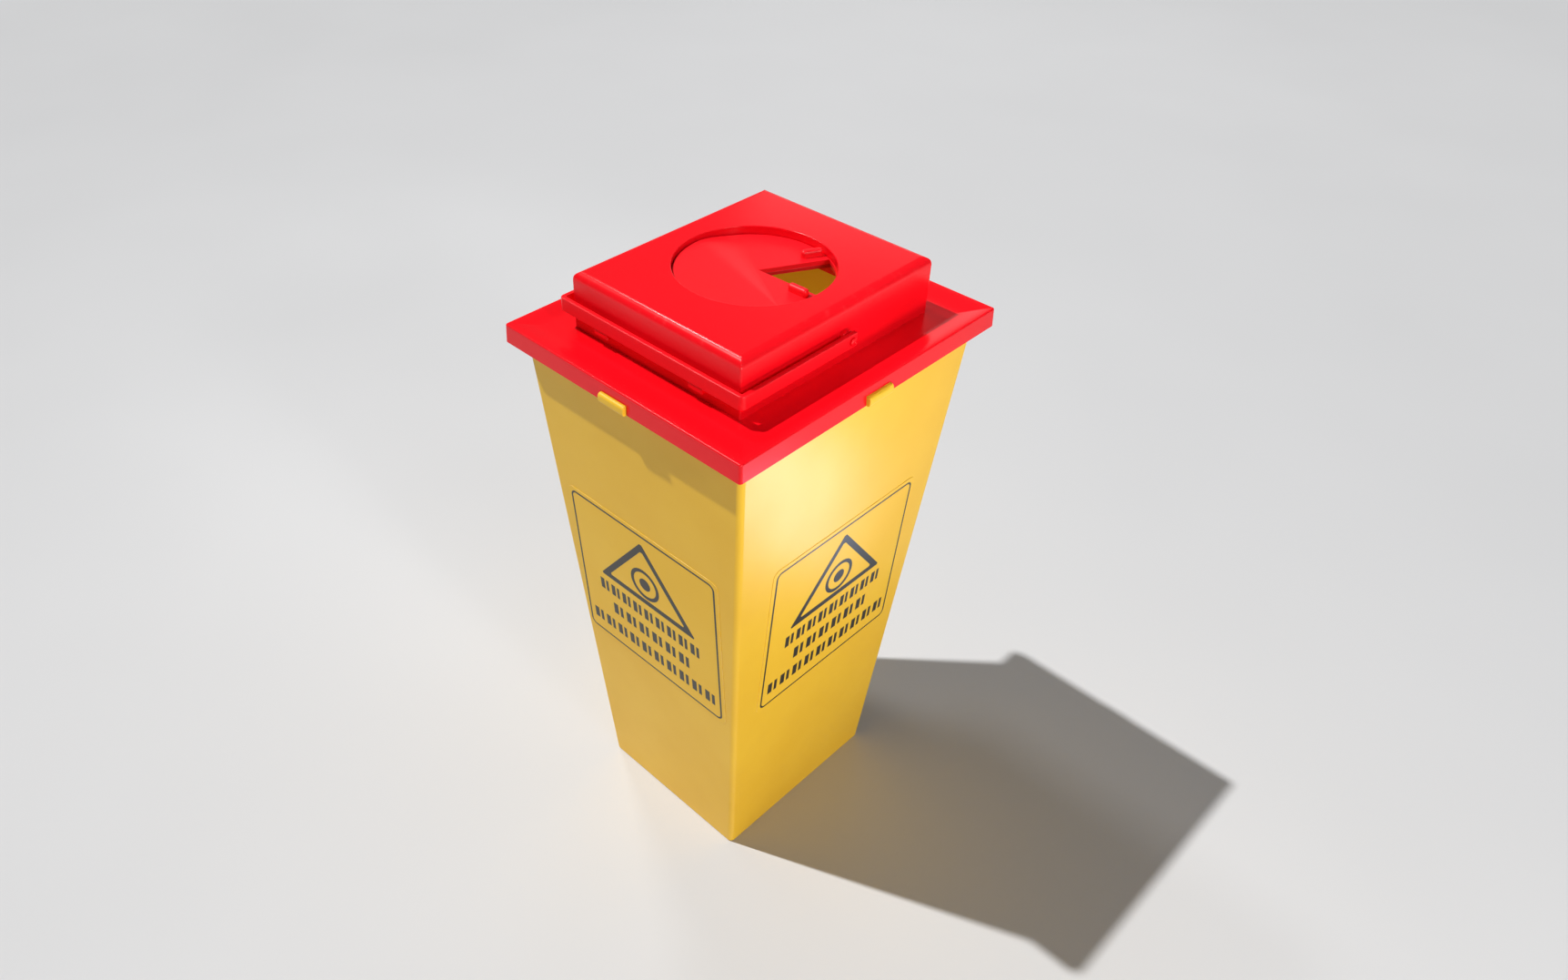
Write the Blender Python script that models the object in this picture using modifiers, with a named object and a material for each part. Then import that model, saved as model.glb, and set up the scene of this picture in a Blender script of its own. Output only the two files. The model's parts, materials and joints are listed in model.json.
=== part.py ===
"""Sharps container: a tapered bin, a press-fit lid with a raised turret, a turning shutter and a carry bail.

The frame has its origin at the middle of the base, on the floor. +Z is up, the front is -Y, and the two
sides that the bail's pins are on face +X and -X. Lengths are in millimetres here and scaled to metres
where a mesh is made.
"""

import math

import bmesh
import bpy
from mathutils import Matrix, Vector

MM = 0.001
GAP = 0.3  # between pieces that touch on the real object

# Bin: half sizes across X and Y, measured on the outside
BASE_HALF = (57.8, 66.8)
SKIRT_LEVEL_HALF = (81.2, 93.2)
SKIRT_LEVEL = 346.0
RIM_TOP = 353.4
RIM_HALF = (85.2, 98.4)
RIM_LIP = 3.0
BIN_WALL = 2.0
BIN_CORNER = 3.5
BIN_HEEL = 1.2
BIN_FLOOR = 3.8
FOOT_WIDTH = 9.0
FOOT_HEIGHT = 1.5

# Catch lugs in the middle of each side of the bin's rim
LUG_WIDTH = 19.0
LUG_BOTTOM = 345.4
LUG_TOP = 351.3
LUG_PROUD = 2.6  # beyond the lid's skirt

# Lid: flange, skirt and dish
FLANGE_HALF = (88.0, 101.2)
FLANGE_TOP = 357.0
FLANGE_EDGE = 0.8
SKIRT_FLARE = 0.4
DISH_HALF = (74.0, 84.2)
DISH_TOP = 355.0
LID_WALL = 2.2
RIB_HALF = (78.8, 90.8)
RIB_WALL = 1.8
RIB_BOTTOM = 346.8

# Turret on the lid, with the round recess in its top
TURRET_HALF = (61.3, 74.0)
TURRET_TOP = 388.4
TURRET_EDGE = 5.0  # radius of its rounded top edge
ROUND_STEPS = 5
RECESS_RADIUS = 44.0
RECESS_WALL = 2.2
RECESS_WALL_BOTTOM = 383.4

# Shutter, a disc that turns under the recess's wall
SHUTTER_RADIUS = 47.2
SHUTTER_TOP = RECESS_WALL_BOTTOM - GAP
SHUTTER_THICK = 2.0
OPENING_APEX = (0.0, 3.3)
OPENING_ANGLES = (2.0, 61.5)  # degrees from +X, anticlockwise seen from above
OPENING_RADIUS = 43.6
SEGMENT_RISE = 2.7
SEGMENT_RADIUS = 43.3
SEGMENT_FACING = -106.2  # degrees, the way from the axis to the raised segment
SEGMENT_CREST = 12.8  # from the axis to the edge of the raised flat
SEGMENT_FOOT = 5.8  # from the axis to where its slope meets the disc
TAB_HEIGHT = 4.8
TAB_THICK = 4.2
TAB_LENGTH = 12.4
TAB_EDGE = 1.3
REAR_TAB_ALONG = 32.6  # from the opening's apex, along the opening's rear edge
REAR_TAB_OFF = 6.5  # from that edge
FRONT_TAB_CENTRE = (31.6, -0.4)
PEG_RADIUS = 2.0
PEG_ORBIT = 36.0
PEG_ANGLE = 200.0
PEG_LENGTH = 2.6
TURN = 75.0  # degrees the shutter turns clockwise to close

# Aperture plate, fixed under the shutter on four posts of the lid
PLATE_HALF = 57.0
PLATE_CORNER = 6.0
PLATE_THICK = 2.0
PLATE_TOP = SHUTTER_TOP - SHUTTER_THICK - GAP
GUIDE_INNER = 47.6
GUIDE_OUTER = 49.6
GUIDE_TOP = 382.9
PLATE_OPENING_MARGIN = 0.6
SLOT_CLEARANCE = 0.4
POST_AT = 50.0
POST_RADIUS = 2.4
POST_HEAD_RADIUS = 4.0
POST_HEAD_THICK = 1.2

# Carry bail and its two pins
BAIL_HALF_WIDTH = 67.3
BAIL_FRONT = -79.2
BAIL_END = 6.0
BAIL_THICK = 2.9
BAIL_BOTTOM = 365.4
BAIL_TOP = 373.4
BAIL_CORNER = 3.0
PIVOT = (2.0, 369.3)  # Y and Z of the pins' axis
PIN_RADIUS = 1.5
PIN_HOLE_RADIUS = 1.8
PIN_HEAD_RADIUS = 2.3
PIN_HEAD_THICK = 1.2
BOSS_RADIUS = 4.6
BOSS_FACE = 63.9  # X of the boss's flat end
REST_NUB_WIDTH = 10.0
REST_NUB_AT = 35.0
REST_NUB_HEIGHT = 3.2

# Labels
LABEL_SIZE = (124.0, 122.0)
LABEL_THICK = 0.3
LABEL_CORNER = 5.0
LABEL_LEVEL = 192.0
FRONT_LABEL_SHIFT = -2.0
RIGHT_LABEL_SHIFT = 4.0

YELLOW = (0.83, 0.53, 0.045, 1.0)
RED = (0.80, 0.012, 0.02, 1.0)
DARK_RED = (0.62, 0.01, 0.016, 1.0)
LABEL_YELLOW = (0.85, 0.56, 0.07, 1.0)


def clear_scene():
    for old in list(bpy.data.objects):
        bpy.data.objects.remove(old, do_unlink=True)


def new_collection(name):
    collection = bpy.data.collections.new(name)
    bpy.context.scene.collection.children.link(collection)
    return collection


def plastic(name, colour, roughness):
    material = bpy.data.materials.new(name)
    material.use_nodes = True
    shader = material.node_tree.nodes["Principled BSDF"]
    shader.inputs["Base Color"].default_value = colour
    shader.inputs["Roughness"].default_value = roughness
    shader.inputs["Metallic"].default_value = 0.0
    return material


def finish_object(bm, name, material):
    """Scale a mesh drawn in millimetres to metres and link it as a part."""
    bmesh.ops.transform(bm, matrix=Matrix.Scale(MM, 4), verts=bm.verts)
    bmesh.ops.recalc_face_normals(bm, faces=bm.faces)
    mesh = bpy.data.meshes.new(name)
    bm.to_mesh(mesh)
    bm.free()
    obj = bpy.data.objects.new(name, mesh)
    parts.objects.link(obj)
    if material:
        mesh.materials.append(material)
    return obj


def as_cutter(bm, name):
    obj = finish_object(bm, name, None)
    parts.objects.unlink(obj)
    cutters.objects.link(obj)
    obj.hide_render = True
    obj.display_type = "WIRE"
    return obj


def boolean(obj, operation, other):
    modifier = obj.modifiers.new(f"{operation.lower()} {other.name}", "BOOLEAN")
    modifier.operation = operation
    modifier.object = other
    modifier.solver = "EXACT"


def smooth_round_faces(obj, angle=35.0):
    obj.data.shade_smooth()
    obj.data.set_sharp_from_angle(angle=math.radians(angle))


def move_origin(obj, point):
    """Put an object's origin on its joint's axis without moving its mesh."""
    shift = Vector(point) * MM
    obj.data.transform(Matrix.Translation(-shift))
    obj.location = shift


def box(low, high):
    bm = bmesh.new()
    bmesh.ops.create_cube(bm, size=1.0)
    for vert in bm.verts:
        vert.co = Vector(high[i] if vert.co[i] > 0 else low[i] for i in range(3))
    return bm


def cylinder(radius, low, high, centre=(0.0, 0.0), segments=32, axis="Z"):
    """A closed cylinder from low to high along its axis, with centre on the other two axes."""
    bm = bmesh.new()
    bmesh.ops.create_cone(
        bm, cap_ends=True, segments=segments, radius1=radius, radius2=radius, depth=high - low
    )
    if axis == "X":
        bmesh.ops.rotate(bm, matrix=Matrix.Rotation(math.pi / 2, 3, "Y"), verts=bm.verts)
        place = Vector(((low + high) / 2, centre[0], centre[1]))
    else:
        place = Vector((centre[0], centre[1], (low + high) / 2))
    bmesh.ops.translate(bm, vec=place, verts=bm.verts)
    return bm


def joined(*meshes):
    """One bmesh that holds several, which stay separate shells for a cutter."""
    whole = bmesh.new()
    for bm in meshes:
        scrap = bpy.data.meshes.new("scrap")
        bm.to_mesh(scrap)
        bm.free()
        whole.from_mesh(scrap)
        bpy.data.meshes.remove(scrap)
    return whole


def vertical_edges(bm):
    def upright(edge):
        step = edge.verts[0].co - edge.verts[1].co
        return abs(step.z) > 5 * math.hypot(step.x, step.y)

    return [edge for edge in bm.edges if upright(edge)]


def level_edges(bm, height):
    return [edge for edge in bm.edges if all(abs(v.co.z - height) < 1e-3 for v in edge.verts)]


def bevel(bm, edges, width, segments):
    bmesh.ops.bevel(
        bm, geom=edges, offset=width, segments=segments, profile=0.5, affect="EDGES", material=-1
    )


def face_at(bm, height, upward):
    flat = [f for f in bm.faces if all(abs(v.co.z - height) < 1e-3 for v in f.verts)]
    return max((f for f in flat if (f.normal.z > 0) == upward), key=lambda f: f.calc_area())


def step_in(bm, face, half, height):
    """Inset a rectangular face and put its new corners at the given half sizes and height."""
    bmesh.ops.inset_individual(bm, faces=[face], thickness=0.5)
    for vert in face.verts:
        vert.co = (math.copysign(half[0], vert.co.x), math.copysign(half[1], vert.co.y), height)


def bin_half_at(height):
    share = height / SKIRT_LEVEL
    return tuple(b + (t - b) * share for b, t in zip(BASE_HALF, SKIRT_LEVEL_HALF))


def wall_lean(axis):
    """The angle by which the bin's wall leans out, for the wall that faces along X (0) or Y (1)."""
    return math.atan2(SKIRT_LEVEL_HALF[axis] - BASE_HALF[axis], SKIRT_LEVEL)


def side_boxes(width, inner, outer, low, high):
    """Four boxes, one at the middle of each side, from the inner to the outer half sizes."""
    half = width / 2
    return joined(
        box((-half, -outer[1], low), (half, -inner[1], high)),
        box((-half, inner[1], low), (half, outer[1], high)),
        box((-outer[0], -half, low), (-inner[0], half, high)),
        box((inner[0], -half, low), (outer[0], half, high)),
    )


def tapered_block(low_half, high_half, low, high):
    bm = box((-1, -1, low), (1, 1, high))
    for vert in bm.verts:
        half = high_half if vert.co.z > (low + high) / 2 else low_half
        vert.co.x *= half[0]
        vert.co.y *= half[1]
    return bm


def make_bin():
    bm = tapered_block(BASE_HALF, bin_half_at(RIM_TOP), 0.0, RIM_TOP)
    bevel(bm, vertical_edges(bm), BIN_CORNER, 4)
    bevel(bm, level_edges(bm, 0.0), BIN_HEEL, 2)
    obj = finish_object(bm, "bin", plastic("yellow polypropylene", YELLOW, 0.32))

    lip = tapered_block(RIM_HALF, RIM_HALF, RIM_TOP - RIM_LIP, RIM_TOP)
    bevel(lip, vertical_edges(lip), BIN_CORNER, 4)
    boolean(obj, "UNION", as_cutter(lip, "rim_lip"))

    inner_floor = [side - BIN_WALL for side in bin_half_at(BIN_FLOOR)]
    above = RIM_TOP + 10
    inner_mouth = [side - BIN_WALL for side in bin_half_at(above)]
    hollow = tapered_block(inner_floor, inner_mouth, BIN_FLOOR, above)
    bevel(hollow, vertical_edges(hollow), BIN_CORNER - BIN_WALL, 3)
    bevel(hollow, level_edges(hollow, BIN_FLOOR), 1.5, 2)
    boolean(obj, "DIFFERENCE", as_cutter(hollow, "bin_hollow"))

    foot_bottom = [side - FOOT_WIDTH + FOOT_HEIGHT for side in BASE_HALF]
    foot_top = [side - FOOT_WIDTH - FOOT_HEIGHT for side in BASE_HALF]
    foot = tapered_block(foot_bottom, foot_top, -FOOT_HEIGHT, FOOT_HEIGHT)
    boolean(obj, "DIFFERENCE", as_cutter(foot, "foot_recess"))

    inner = [side - BIN_WALL / 2 for side in bin_half_at(LUG_BOTTOM)]
    outer = [side + LUG_PROUD for side in FLANGE_HALF]
    lugs = side_boxes(LUG_WIDTH, inner, outer, LUG_BOTTOM, LUG_TOP)
    tips = [e for e in lugs.edges if all(
        abs(v.co.x) > outer[0] - 0.01 or abs(v.co.y) > outer[1] - 0.01 for v in e.verts)]
    bevel(lugs, tips, 1.4, 3)
    boolean(obj, "UNION", as_cutter(lugs, "lug_blocks"))
    smooth_round_faces(obj)
    return obj


def turned_post():
    """One post of the lid with the head that is formed on it under the aperture plate."""
    head_top = PLATE_TOP - PLATE_THICK - GAP
    head_bottom = head_top - POST_HEAD_THICK
    profile = [
        (0.0, TURRET_TOP - LID_WALL + 0.8),
        (POST_RADIUS, TURRET_TOP - LID_WALL + 0.8),
        (POST_RADIUS, head_top),
        (POST_HEAD_RADIUS, head_top),
        (POST_HEAD_RADIUS - 0.8, head_bottom),
        (0.0, head_bottom),
    ]
    bm = bmesh.new()
    verts = [bm.verts.new((x, 0.0, z)) for x, z in profile]
    edges = [bm.edges.new(pair) for pair in zip(verts, verts[1:])]
    bmesh.ops.spin(bm, geom=verts + edges, cent=(0, 0, 0), axis=(0, 0, 1), angle=2 * math.pi,
                   steps=20, use_merge=True)
    bmesh.ops.remove_doubles(bm, verts=bm.verts, dist=1e-4)
    return bm


def round_over(bm, face, half, height, radius):
    """Carry a block's top face up and in along a quarter round, to the given half sizes and height."""
    for step in range(ROUND_STEPS + 1):
        turn = math.pi / 2 * step / ROUND_STEPS
        inset = radius * (1 - math.cos(turn))
        drop = radius * (1 - math.sin(turn))
        step_in(bm, face, [side - inset for side in half], height - drop)


def lid_form(inset, low):
    """The lid's outside as a solid, or with an inset its inside."""
    flange = [side - inset for side in FLANGE_HALF]
    skirt = [side + SKIRT_FLARE for side in flange]
    edge = max(FLANGE_EDGE - inset, 0.0)
    shoulder = FLANGE_TOP - inset - edge
    bm = tapered_block(skirt, flange, low, shoulder)
    bm.normal_update()
    top = face_at(bm, shoulder, True)
    if edge:
        round_over(bm, top, [side - 0.01 for side in flange], FLANGE_TOP, edge)
    step_in(bm, top, DISH_HALF, DISH_TOP - inset)
    turret = [side - inset for side in TURRET_HALF]
    step_in(bm, top, turret, DISH_TOP - inset)
    round_over(bm, top, turret, TURRET_TOP - inset, TURRET_EDGE - inset)
    return bm


def make_lid():
    red = plastic("red polypropylene", RED, 0.28)
    obj = finish_object(lid_form(0.0, SKIRT_LEVEL), "lid", red)
    boolean(obj, "DIFFERENCE", as_cutter(lid_form(LID_WALL, SKIRT_LEVEL - 2), "lid_hollow"))

    plug = cylinder(RECESS_RADIUS + RECESS_WALL, RECESS_WALL_BOTTOM, TURRET_TOP - 1.0, segments=72)
    boolean(obj, "UNION", as_cutter(plug, "recess_wall"))
    hole = cylinder(RECESS_RADIUS, RECESS_WALL_BOTTOM - 3, TURRET_TOP + 3, segments=72)
    boolean(obj, "DIFFERENCE", as_cutter(hole, "recess_hole"))

    # The rib that enters the bin's mouth
    rib_top = DISH_TOP - LID_WALL + 1.0
    rib = box((-RIB_HALF[0], -RIB_HALF[1], RIB_BOTTOM), (*RIB_HALF, rib_top))
    inside = [side - RIB_WALL for side in RIB_HALF]
    rib_obj = as_cutter(rib, "mouth_rib")
    hollow = box((-inside[0], -inside[1], RIB_BOTTOM - 5), (*inside, rib_top + 5))
    boolean(rib_obj, "DIFFERENCE", as_cutter(hollow, "mouth_rib_hollow"))
    boolean(obj, "UNION", rib_obj)

    # Notches in the skirt, open below, for the bin's lugs
    notch_inner = [side - LID_WALL - 1 for side in FLANGE_HALF]
    notch_outer = [side + 5 for side in FLANGE_HALF]
    notch_width = LUG_WIDTH + 2 * GAP + 0.2
    notch_top = LUG_TOP + GAP
    notches = side_boxes(notch_width, notch_inner, notch_outer, SKIRT_LEVEL - 3, notch_top)
    boolean(obj, "DIFFERENCE", as_cutter(notches, "skirt_notches"))

    for number, (x, y) in enumerate([(1, 1), (-1, 1), (-1, -1), (1, -1)], 1):
        post = turned_post()
        bmesh.ops.translate(post, vec=(x * POST_AT, y * POST_AT, 0), verts=post.verts)
        boolean(obj, "UNION", as_cutter(post, f"plate_post_{number}"))

    for side, name in ((1, "right"), (-1, "left")):
        ends = sorted((side * (TURRET_HALF[0] - LID_WALL + 1.0), side * BOSS_FACE))
        boss = cylinder(BOSS_RADIUS, *ends, centre=PIVOT, segments=28, axis="X")
        boolean(obj, "UNION", as_cutter(boss, f"bail_boss_{name}"))
        ends = sorted((side * (TURRET_HALF[0] - 6), side * (BOSS_FACE + 3)))
        bore = cylinder(PIN_HOLE_RADIUS, *ends, centre=PIVOT, segments=24, axis="X")
        boolean(obj, "DIFFERENCE", as_cutter(bore, f"bail_boss_bore_{name}"))

    # Nubs that the bail lies on, in front and when it is folded to the back
    front_top = BAIL_BOTTOM - GAP
    back_top = 2 * PIVOT[1] - BAIL_TOP - GAP
    front_reach = -BAIL_FRONT - 0.6
    back_reach = 2 * PIVOT[0] - BAIL_FRONT - 0.6
    root = TURRET_HALF[1] - 1.0
    half = REST_NUB_WIDTH / 2
    nubs = []
    for x in (-REST_NUB_AT, REST_NUB_AT):
        low, high = x - half, x + half
        nubs.append(box((low, -front_reach, front_top - REST_NUB_HEIGHT), (high, -root, front_top)))
        nubs.append(box((low, root, back_top - REST_NUB_HEIGHT), (high, back_reach, back_top)))
    boolean(obj, "UNION", as_cutter(joined(*nubs), "bail_rest_nubs"))
    smooth_round_faces(obj)
    return obj


def prism(outline, low, high):
    """An outline in plan, extruded from the low to the high level."""
    bm = bmesh.new()
    face = bm.faces.new([bm.verts.new((p.x, p.y, low)) for p in outline])
    grown = bmesh.ops.extrude_face_region(bm, geom=[face])["geom"]
    top = [item for item in grown if isinstance(item, bmesh.types.BMVert)]
    bmesh.ops.translate(bm, vec=(0, 0, high - low), verts=top)
    return bm


def opening_prism(margin, low, high):
    """The wedge-shaped opening as a solid: two straight edges from the apex and an arc about the axis."""
    start, end = (math.radians(angle) for angle in OPENING_ANGLES)
    apex = Vector(OPENING_APEX)
    middle = (start + end) / 2
    spread = margin / math.sin((end - start) / 2)
    apex = apex - spread * Vector((math.cos(middle), math.sin(middle)))
    radius = OPENING_RADIUS + margin

    def on_arc(angle):
        """Where a line from the apex at this angle meets the arc."""
        way = Vector((math.cos(angle), math.sin(angle)))
        along = apex.dot(way)
        return apex + way * (-along + math.sqrt(along * along + radius * radius - apex.length_squared))

    steps = 12
    angles = [start + (end - start) * i / steps for i in range(steps + 1)]
    return prism([apex] + [on_arc(angle) for angle in angles], low, high)


def raised_segment():
    """The part of the disc beyond a chord, raised, with a slope down to the disc along that chord."""
    facing = math.radians(SEGMENT_FACING)
    out = Vector((math.cos(facing), math.sin(facing), 0))
    low = SHUTTER_TOP - SHUTTER_THICK / 2
    high = SHUTTER_TOP + SEGMENT_RISE
    bm = cylinder(SEGMENT_RADIUS, low, high, segments=72)
    run = SEGMENT_CREST - SEGMENT_FOOT
    slope_normal = (Vector((0, 0, run)) - out * SEGMENT_RISE).normalized()
    crest = out * SEGMENT_CREST + Vector((0, 0, high))
    bmesh.ops.bisect_plane(
        bm, geom=bm.verts[:] + bm.edges[:] + bm.faces[:], plane_co=crest, plane_no=slope_normal,
        clear_outer=True,
    )
    bmesh.ops.holes_fill(bm, edges=[e for e in bm.edges if e.is_boundary])
    return bm


def finger_tab(centre, angle):
    base = SHUTTER_TOP - 0.6
    top = SHUTTER_TOP + TAB_HEIGHT
    bm = box((-TAB_LENGTH / 2, -TAB_THICK / 2, base), (TAB_LENGTH / 2, TAB_THICK / 2, top))
    bevel(bm, [e for e in bm.edges if max(v.co.z for v in e.verts) > base + 1], TAB_EDGE, 3)
    turn = Matrix.Rotation(math.radians(angle), 3, "Z")
    bmesh.ops.rotate(bm, matrix=turn, verts=bm.verts)
    bmesh.ops.translate(bm, vec=(centre[0], centre[1], 0), verts=bm.verts)
    return bm


def make_shutter():
    bm = cylinder(SHUTTER_RADIUS, SHUTTER_TOP - SHUTTER_THICK, SHUTTER_TOP, segments=72)
    obj = finish_object(bm, "shutter", plastic("red polypropylene, shutter", RED, 0.3))
    boolean(obj, "UNION", as_cutter(raised_segment(), "shutter_segment"))
    wedge = opening_prism(0.0, SHUTTER_TOP - 8, SHUTTER_TOP + 8)
    boolean(obj, "DIFFERENCE", as_cutter(wedge, "shutter_wedge"))

    rear_angle = math.radians(OPENING_ANGLES[1])
    along = Vector((math.cos(rear_angle), math.sin(rear_angle)))
    away = Vector((-along.y, along.x))
    rear = Vector(OPENING_APEX) + along * REAR_TAB_ALONG + away * REAR_TAB_OFF
    boolean(obj, "UNION", as_cutter(finger_tab(rear, OPENING_ANGLES[1]), "rear_tab"))
    boolean(obj, "UNION", as_cutter(finger_tab(FRONT_TAB_CENTRE, OPENING_ANGLES[0]), "front_tab"))

    angle = math.radians(PEG_ANGLE)
    place = (PEG_ORBIT * math.cos(angle), PEG_ORBIT * math.sin(angle))
    bottom = SHUTTER_TOP - SHUTTER_THICK
    peg = cylinder(PEG_RADIUS, bottom - PEG_LENGTH, bottom + 1.0, centre=place, segments=20)
    boolean(obj, "UNION", as_cutter(peg, "stop_peg"))
    smooth_round_faces(obj)
    move_origin(obj, (0, 0, SHUTTER_TOP))
    return obj


def arc_points(centre, radius, first, last, steps):
    angles = [first + (last - first) * i / steps for i in range(steps + 1)]
    return [centre + radius * Vector((math.cos(angle), math.sin(angle))) for angle in angles]


def arc_slot(low, high):
    """The slot that the shutter's peg runs in, as a solid with round ends."""
    half = PEG_RADIUS + SLOT_CLEARANCE
    first = math.radians(PEG_ANGLE - TURN)
    last = math.radians(PEG_ANGLE)
    middle = Vector((0.0, 0.0))
    first_centre, last_centre = arc_points(middle, PEG_ORBIT, first, last, 1)
    outer = arc_points(middle, PEG_ORBIT + half, first, last, 24)
    inner = arc_points(middle, PEG_ORBIT - half, last, first, 24)
    last_end = arc_points(last_centre, half, last, last + math.pi, 8)
    first_end = arc_points(first_centre, half, first + math.pi, first + 2 * math.pi, 8)
    return prism(outer + last_end[1:-1] + inner + first_end[1:-1], low, high)


def make_aperture_plate():
    low = PLATE_TOP - PLATE_THICK
    bm = box((-PLATE_HALF, -PLATE_HALF, low), (PLATE_HALF, PLATE_HALF, PLATE_TOP))
    bevel(bm, vertical_edges(bm), PLATE_CORNER, 5)
    obj = finish_object(bm, "aperture_plate", plastic("red polypropylene, inside", DARK_RED, 0.4))
    ring = cylinder(GUIDE_OUTER, PLATE_TOP - 1.0, GUIDE_TOP, segments=72)
    guide = as_cutter(ring, "guide_ring")
    bore = cylinder(GUIDE_INNER, low - 3, GUIDE_TOP + 3, segments=72)
    boolean(guide, "DIFFERENCE", as_cutter(bore, "guide_bore"))
    boolean(obj, "UNION", guide)
    wedge = opening_prism(PLATE_OPENING_MARGIN, low - 3, PLATE_TOP + 0.5)
    boolean(obj, "DIFFERENCE", as_cutter(wedge, "plate_wedge"))
    boolean(obj, "DIFFERENCE", as_cutter(arc_slot(low - 3, PLATE_TOP + 0.5), "peg_slot"))
    holes = joined(*[
        cylinder(POST_RADIUS + GAP, low - 3, PLATE_TOP + 3, centre=(x, y), segments=20)
        for x in (-POST_AT, POST_AT) for y in (-POST_AT, POST_AT)
    ])
    boolean(obj, "DIFFERENCE", as_cutter(holes, "post_holes"))
    smooth_round_faces(obj)
    return obj


def make_bail():
    bm = bmesh.new()
    points = [
        (-BAIL_HALF_WIDTH, BAIL_END),
        (-BAIL_HALF_WIDTH, BAIL_FRONT),
        (BAIL_HALF_WIDTH, BAIL_FRONT),
        (BAIL_HALF_WIDTH, BAIL_END),
    ]
    verts = [bm.verts.new((x, y, BAIL_BOTTOM)) for x, y in points]
    edges = [bm.edges.new(pair) for pair in zip(verts, verts[1:])]
    grown = bmesh.ops.extrude_edge_only(bm, edges=edges)["geom"]
    top = [item for item in grown if isinstance(item, bmesh.types.BMVert)]
    bmesh.ops.translate(bm, vec=(0, 0, BAIL_TOP - BAIL_BOTTOM), verts=top)
    corners = [e for e in vertical_edges(bm) if e.verts[0].co.y < 0]
    bevel(bm, corners, BAIL_CORNER, 4)
    obj = finish_object(bm, "bail", plastic("red polypropylene, bail", RED, 0.3))
    front = max(obj.data.polygons, key=lambda face: face.area)
    shell = obj.modifiers.new("wall", "SOLIDIFY")
    shell.thickness = BAIL_THICK * MM
    shell.offset = -1.0 if front.normal.y < 0 else 1.0
    shell.use_even_offset = True
    edge = obj.modifiers.new("edges", "BEVEL")
    edge.width = 0.4 * MM
    edge.segments = 2
    edge.limit_method = "ANGLE"
    edge.angle_limit = math.radians(60)
    for side, name in ((1, "right"), (-1, "left")):
        ends = sorted((side * (BAIL_HALF_WIDTH - BAIL_THICK - 3), side * (BAIL_HALF_WIDTH + 3)))
        bore = cylinder(PIN_HOLE_RADIUS, *ends, centre=PIVOT, segments=24, axis="X")
        boolean(obj, "DIFFERENCE", as_cutter(bore, f"bail_bore_{name}"))
    smooth_round_faces(obj)
    move_origin(obj, (0, *PIVOT))
    return obj


def make_pin(side, name):
    """A push-in pin: its head outside the bail's arm, its shank through the arm and the turret's wall."""
    head_inner = BAIL_HALF_WIDTH + GAP
    tip = TURRET_HALF[0] - LID_WALL - 1.0
    profile = [
        (0.0, head_inner + PIN_HEAD_THICK),
        (PIN_HEAD_RADIUS - 0.5, head_inner + PIN_HEAD_THICK),
        (PIN_HEAD_RADIUS, head_inner + PIN_HEAD_THICK - 0.5),
        (PIN_HEAD_RADIUS, head_inner),
        (PIN_RADIUS, head_inner),
        (PIN_RADIUS, tip + 0.6),
        (PIN_RADIUS - 0.6, tip),
        (0.0, tip),
    ]
    bm = bmesh.new()
    verts = [bm.verts.new((x, 0.0, z)) for x, z in profile]
    edges = [bm.edges.new(pair) for pair in zip(verts, verts[1:])]
    bmesh.ops.spin(bm, geom=verts + edges, cent=(0, 0, 0), axis=(0, 0, 1), angle=2 * math.pi,
                   steps=24, use_merge=True)
    bmesh.ops.remove_doubles(bm, verts=bm.verts, dist=1e-4)
    bmesh.ops.rotate(bm, matrix=Matrix.Rotation(side * math.pi / 2, 3, "Y"), verts=bm.verts)
    bmesh.ops.translate(bm, vec=(0, *PIVOT), verts=bm.verts)
    obj = finish_object(bm, f"bail_pin_{name}", plastic(f"red polypropylene, {name} pin", RED, 0.3))
    smooth_round_faces(obj)
    return obj


def make_label(name, axis, side, shift):
    """A sticker on one wall: flat, round-cornered, leaning with the wall."""
    half_width, half_height = (size / 2 for size in LABEL_SIZE)
    bm = box((-half_width, 0.0, -half_height), (half_width, LABEL_THICK, half_height))
    corners = [e for e in bm.edges if abs(e.verts[0].co.y - e.verts[1].co.y) > LABEL_THICK / 2]
    bevel(bm, corners, LABEL_CORNER, 5)
    # Drawn facing -Y with its back at Y = 0, so it is first moved off the wall and then leant with it
    bmesh.ops.translate(bm, vec=(0, -LABEL_THICK - GAP, 0), verts=bm.verts)
    bmesh.ops.rotate(bm, matrix=Matrix.Rotation(wall_lean(axis), 3, "X"), verts=bm.verts)
    half = bin_half_at(LABEL_LEVEL)
    bmesh.ops.translate(bm, vec=(shift, -half[axis], LABEL_LEVEL), verts=bm.verts)
    quarter_turns = {(1, -1): 0, (0, 1): 1, (1, 1): 2, (0, -1): 3}[(axis, side)]
    bmesh.ops.rotate(bm, matrix=Matrix.Rotation(quarter_turns * math.pi / 2, 3, "Z"), verts=bm.verts)
    return finish_object(bm, name, plastic(f"{name} vinyl", LABEL_YELLOW, 0.35))


clear_scene()
parts = new_collection("sharps_container")
cutters = new_collection("cutters")
cutters.hide_render = True

make_bin()
make_lid()
make_aperture_plate()
make_shutter()
make_bail()
make_pin(1, "right")
make_pin(-1, "left")
make_label("label_front", 1, -1, FRONT_LABEL_SHIFT)
make_label("label_right", 0, 1, RIGHT_LABEL_SHIFT)
make_label("label_back", 1, 1, FRONT_LABEL_SHIFT)
make_label("label_left", 0, -1, RIGHT_LABEL_SHIFT)
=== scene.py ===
import json
import math

import bmesh
import bpy
from mathutils import Matrix, Vector


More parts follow.
